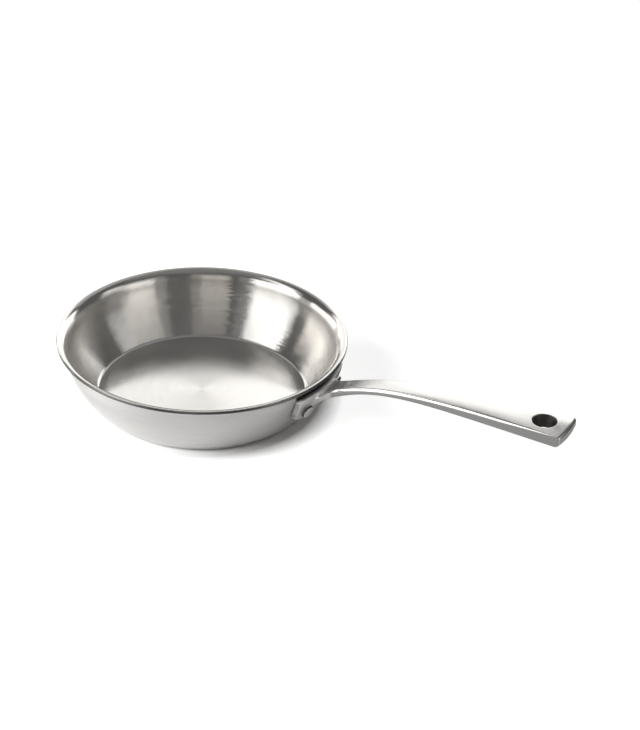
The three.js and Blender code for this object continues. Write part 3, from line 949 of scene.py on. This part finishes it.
# the floor glows with painted light seen only by the camera, from nothing near the pan to clear white
# further out
floor_painted_glow = between(floor_tree, floor_away, *FLOOR_PAINTED_GLOW_RUN, 0.0, FLOOR_PAINTED_GLOW)
floor_paint = {
    "Base Color": paint(FLOOR_TINT),
    "Roughness": FLOOR_ROUGH,
    "Emission Color": paint(PLAIN),
    "Emission Strength": math_node(floor_tree, "MULTIPLY", floor_seen, floor_painted_glow),
}
floor_surface = add(floor_tree, "ShaderNodeBsdfPrincipled", floor_paint).outputs[0]
add(floor_tree, "ShaderNodeOutputMaterial", {"Surface": floor_surface})
floor_mesh.materials.append(floor_finish)


# Lights: soft panels stand in a ring round the pan, with a dim card overhead, and light the steel alone.
# Each gives one bright band on the wall, the lip or the handle. Two soft lamps light the floor alone, so
# that the shadow falls to the right of the pan.
VIEW_TURN = math.radians(26.5)
WHITE = (1.0, 0.99, 0.97)
WARM = (1.0, 0.935, 0.86)
PANEL_DISTANCE = 1.5
PANEL_SPAN = 35
OVERHEAD_HEIGHT = 1.6
OVERHEAD_WIDTH = 1.4
OVERHEAD_BRIGHTNESS = 0.12
FLOOR_LAMP_SIZE = (0.9, 0.6)
FLOOR_LAMP_DISTANCE = 1.6


def lit_group(name, things):
    group = bpy.data.collections.new(name)
    for thing in things:
        group.objects.link(thing)
    return group


steel_pieces = [thing for thing in bpy.context.scene.objects if thing.type == "MESH" and thing != floor]
steel_only = lit_group("steel_only", steel_pieces)
floor_only = lit_group("floor_only", [floor])


def soft_light(name, width, height, watts, tint, lit):
    """A rectangle of soft light that falls on one group alone and isn't seen itself."""
    lamp = bpy.data.lights.new(name, "AREA")
    lamp.shape = "RECTANGLE"
    lamp.size = width
    lamp.size_y = height
    lamp.energy = watts
    lamp.color = tint
    stand = bpy.data.objects.new(name, lamp)
    stand.visible_camera = False
    stand.light_linking.receiver_collection = lit
    bpy.context.scene.collection.objects.link(stand)
    return stand


def right_of_camera(turn):
    """The heading of a light that stands an angle round to the right of the camera."""
    return VIEW_TURN - math.pi / 2 + turn


def panel(name, turns, rises, brightness, tint):
    """Upright soft panels facing the pan, between two angles to the right of the camera and two rises."""
    low, high = (PANEL_DISTANCE * math.tan(math.radians(rise)) for rise in rises)
    count = math.ceil((turns[1] - turns[0]) / PANEL_SPAN)
    edges = np.radians(np.linspace(*turns, count + 1))
    for start, end in zip(edges, edges[1:]):
        width = 2 * PANEL_DISTANCE * math.tan((end - start) / 2)
        watts = brightness * math.pi * width * (high - low)
        angle = right_of_camera((start + end) / 2)
        stand = soft_light(name, width, high - low, watts, tint, steel_only)
        stand.location = (*(PANEL_DISTANCE * heading(angle)), (low + high) / 2)
        stand.rotation_euler = (math.pi / 2, 0.0, angle + math.pi / 2)


def floor_lamp(name, turn, rise, watts):
    """A soft lamp aimed at the pan, for the floor alone."""
    stand = soft_light(name, *FLOOR_LAMP_SIZE, watts, PLAIN, floor_only)
    out, up = heading(math.radians(rise))
    x, y = out * heading(right_of_camera(math.radians(turn)))
    stand.location = FLOOR_LAMP_DISTANCE * Vector((x, y, up))
    stand.rotation_euler = (-stand.location).to_track_quat("-Z", "Y").to_euler()


panel("left_softbox", (-86, -41), (5, 40), 2.9, WHITE)
panel("left_top_strip", (-102, -78), (40, 65), 1.5, WHITE)
panel("left_low_strip", (-114, -62), (0.5, 9), 3.0, WHITE)
panel("left_back_card", (-138, -100), (9, 18), 4.6, WARM)
panel("left_back_panel", (-150, -126), (0.5, 28), 1.0, WARM)
panel("front_left_card", (-40, -28), (9, 40), 0.3, WHITE)
panel("front_low_panel", (-19, 5), (0.5, 18), 1.1, WARM)
panel("front_high_panel", (-22, 14), (18, 40), 0.4, WARM)
panel("right_low_card", (46, 70), (0.5, 9), 4.5, WHITE)
panel("right_panel", (46, 78), (9, 28), 1.25, WARM)
panel("right_high_panel", (38, 78), (28, 40), 0.7, WHITE)
panel("right_side_panel", (80, 102), (24, 40), 1.5, WHITE)
panel("back_right_panel", (137, 164), (8, 32), 2.2, WHITE)
panel("back_middle_panel", (164, 182), (10, 40), 1.5, WHITE)
panel("back_left_panel", (182, 198), (15, 40), 1.2, WHITE)
panel("back_edge_panel", (198, 214), (8, 36), 1.4, WHITE)
panel("back_high_strip", (145, 210), (40, 65), 0.4, WHITE)
overhead_watts = OVERHEAD_BRIGHTNESS * math.pi * OVERHEAD_WIDTH**2
overhead = soft_light("overhead_card", OVERHEAD_WIDTH, OVERHEAD_WIDTH, overhead_watts, PLAIN, steel_only)
overhead.location = (0.0, 0.0, OVERHEAD_HEIGHT)
floor_lamp("floor_lamp_left", -90, 12, 50.0)
floor_lamp("floor_lamp_front", -50, 40, 16.0)


# Surroundings: the dim, even room round the lights. The steel mirrors it as its darker bands, the floor
# takes a little light from it, and behind everything it is a near-white backdrop.
SURROUND_TINT = (1.0, 1.0, 0.98)
SURROUND_ON_STEEL = 0.125
SURROUND_ON_FLOOR = 0.05
SURROUND_AS_BACKDROP = 0.95
world = bpy.data.worlds.new("studio")
bpy.context.scene.world = world
world.use_nodes = True
world.cycles.sampling_method = "NONE"
room = world.node_tree
room.nodes.clear()
ray = add(room, "ShaderNodeLightPath").outputs
room_light = math_node(room, "MULTIPLY", ray["Is Glossy Ray"], SURROUND_ON_STEEL)
for kind, share in (("Is Diffuse Ray", SURROUND_ON_FLOOR), ("Is Camera Ray", SURROUND_AS_BACKDROP)):
    room_light = math_node(room, "ADD", room_light, math_node(room, "MULTIPLY", ray[kind], share))
surround = add(room, "ShaderNodeBackground", {"Color": paint(SURROUND_TINT), "Strength": room_light})
add(room, "ShaderNodeOutputWorld", {"Surface": surround.outputs[0]})
bpy.context.scene.view_settings.view_transform = "Standard"


# Camera: a long lens a metre and a half away, looking down on the pan from the side of the handle that
# carries the front rivet, and held a little askew.
VIEW_DROP = math.radians(30.874)
VIEW_ROLL = math.radians(-2.205)
VIEW_TARGET = Vector((0.05674, 0.07822, 0.0))
VIEW_DISTANCE = 1.52713
LENS_MM = 100
SENSOR_MM = 36
FARTHEST_SEEN = 60
view_swing = Matrix.Rotation(VIEW_TURN, 3, "Z")
ahead = view_swing @ Vector((0.0, math.cos(VIEW_DROP), -math.sin(VIEW_DROP)))
right = view_swing @ Vector((1.0, 0.0, 0.0))
down = view_swing @ Vector((0.0, -math.sin(VIEW_DROP), -math.cos(VIEW_DROP)))
image_right = right * math.cos(VIEW_ROLL) + down * math.sin(VIEW_ROLL)
image_up = right * math.sin(VIEW_ROLL) - down * math.cos(VIEW_ROLL)
stance = Matrix((image_right, image_up, -ahead)).transposed().to_4x4()
stance.translation = VIEW_TARGET - ahead * VIEW_DISTANCE
camera = bpy.data.objects.new("camera", bpy.data.cameras.new("camera"))
camera.data.lens = LENS_MM
camera.data.sensor_width = SENSOR_MM
camera.data.clip_end = FARTHEST_SEEN
camera.matrix_world = stance
bpy.context.scene.collection.objects.link(camera)
bpy.context.scene.camera = camera
